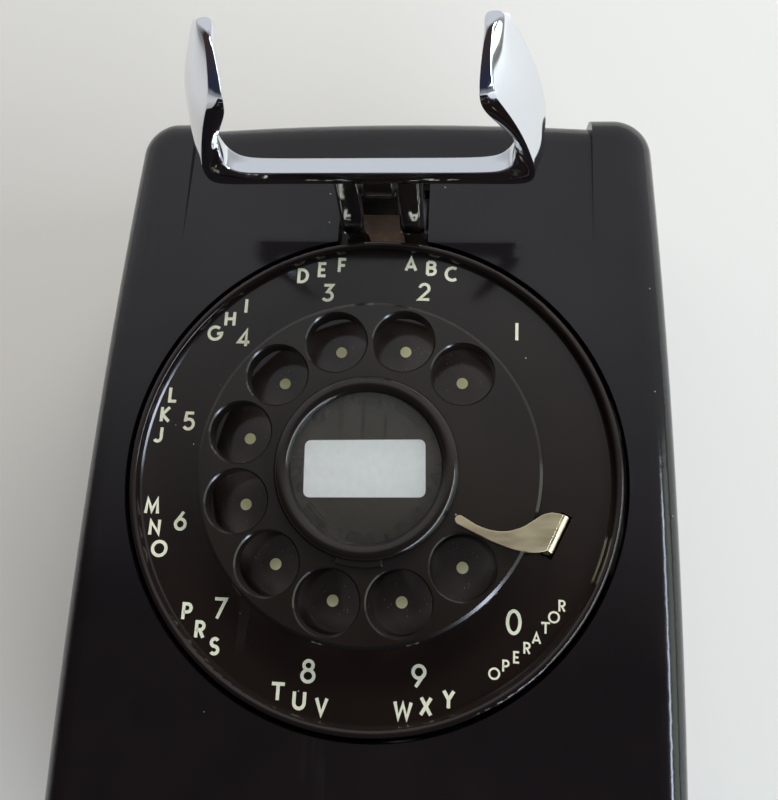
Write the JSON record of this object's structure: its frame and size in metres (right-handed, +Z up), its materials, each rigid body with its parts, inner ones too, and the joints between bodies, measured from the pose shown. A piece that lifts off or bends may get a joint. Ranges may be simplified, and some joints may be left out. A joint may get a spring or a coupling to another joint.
{
  "type": "wall telephone",
  "caption": "Rotary dial wall telephone in glossy black plastic with a chrome handset cradle, its dial mechanism, ringer and switch inside.",
  "frame": {"origin": "centre of the four wall screws, on the back plane that lies on the wall", "axes": "+Z up, +X to the right of someone facing the telephone, -Y out of the wall"},
  "size_m": [0.1458, 0.1166, 0.2189],
  "materials": {
    "black_plastic": "polished moulded plastic",
    "plate_plastic": "polished moulded plastic",
    "wheel_plastic": "polished moulded plastic",
    "knob_plastic": "ribbed moulded plastic",
    "cream_paint": "filled paint",
    "card_paper": "printed card",
    "clear_cover": "clear plastic disc",
    "nickel_steel": "nickel plated",
    "chrome_casting": "chrome plated",
    "grey_rubber": "moulded rubber",
    "zinc_steel": "zinc plated",
    "spring_steel": "blued spring wire",
    "contact_brass": "plain",
    "gear_brass": "machined",
    "gong_brass": "lacquered",
    "magnet_iron": "plain",
    "coil_tape": "wound and taped",
    "network_case": "potted case",
    "brown_phenolic": "phenolic laminate"
  },
  "bodies": {
    "root": {"base_plate": "zinc_steel", "housing": "black_plastic", "housing_screw": "zinc_steel", "cord_grommet": "grey_rubber", "number_plate": "plate_plastic", "aiming_dots": "cream_paint", "finger_stop": "nickel_steel", "stop_screw": "zinc_steel", "dial_frame": "zinc_steel", "dial_bearing": "gear_brass", "plate_pillars": "gear_brass", "rear_pillars": "gear_brass", "rear_bridge": "zinc_steel", "mainspring": "spring_steel", "governor_cup": "zinc_steel", "pulse_springs": "contact_brass", "pulse_block": "brown_phenolic", "dial_bracket_left": "zinc_steel", "dial_bracket_right": "zinc_steel", "dial_screws": "zinc_steel", "hook_bracket": "zinc_steel", "pivot_pin": "zinc_steel", "hook_spring": "spring_steel", "switch_springs": "contact_brass", "switch_pile": "brown_phenolic", "pile_bracket": "zinc_steel", "network_block": "network_case", "terminal_screws": "contact_brass", "ringer_grommets": "grey_rubber", "ringer_frame": "zinc_steel", "coils": "coil_tape", "coil_core": "zinc_steel", "magnet": "magnet_iron", "gong_left": "gong_brass", "gong_right": "gong_brass", "gong_screws": "zinc_steel", "armature_pin": "zinc_steel", "loudness_bracket": "zinc_steel", "line_terminals": "network_case", "line_screws": "contact_brass"},
    "dial_wheel": {"finger_wheel": "wheel_plastic", "number_card": "card_paper", "card_cover": "clear_cover", "retaining_ring": "wheel_plastic", "hub_screw": "zinc_steel", "dial_shaft": "zinc_steel", "main_gear": "gear_brass", "pulse_cam": "brown_phenolic"},
    "governor": {"governor_shaft": "zinc_steel", "governor_pinion": "gear_brass", "governor_weights": "gear_brass"},
    "cradle_arm": {"cradle": "chrome_casting", "switch_lever": "brown_phenolic"},
    "plunger": {"switch_plunger": "brown_phenolic"},
    "clapper_arm": {"armature": "zinc_steel", "clapper": "zinc_steel"},
    "loudness": {"loudness_wheel": "knob_plastic", "loudness_shaft": "zinc_steel"}
  },
  "joints": [
    {"name": "dial_turn", "type": "hinge", "parent": "root", "child": "dial_wheel", "pos_m": [0, -0.065, 0.01745], "axis": [0, 0.9945, -0.1045], "range_deg": [0, 320], "stiffness_Nm_per_rad": 0.01, "springref_deg": -114.59},
    {"name": "governor_turn", "type": "hinge", "parent": "root", "child": "governor", "pos_m": [-0.02384, -0.06749, -0.00626], "axis": [0, 0.9945, -0.1045], "range_deg": [-1980, 10]},
    {"name": "cradle_drop", "type": "hinge", "parent": "root", "child": "cradle_arm", "pos_m": [0, -0.04219, 0.08142], "axis": [1, 0, 0], "range_deg": [0, 7], "stiffness_Nm_per_rad": 0.25, "springref_deg": -20.05},
    {"name": "plunger_slide", "type": "slide", "parent": "root", "child": "plunger", "axis": [0, 0.9945, -0.1045], "range_m": [0, 0.0027]},
    {"name": "clapper_swing", "type": "hinge", "parent": "root", "child": "clapper_arm", "pos_m": [0, -0.0185, -0.0595], "axis": [0, 1, 0], "range_deg": [-6.5, 6.5], "stiffness_Nm_per_rad": 0.005},
    {"name": "loudness_turn", "type": "hinge", "parent": "root", "child": "loudness", "pos_m": [0.024, -0.056, -0.0985], "axis": [1, 0, 0], "range_deg": [0, 120]}
  ],
  "couplings": [
    {"joint": "governor_turn", "follows": "dial_turn", "ratio": -6},
    {"joint": "plunger_slide", "follows": "cradle_drop", "m_per_rad": 0.0205}
  ]
}
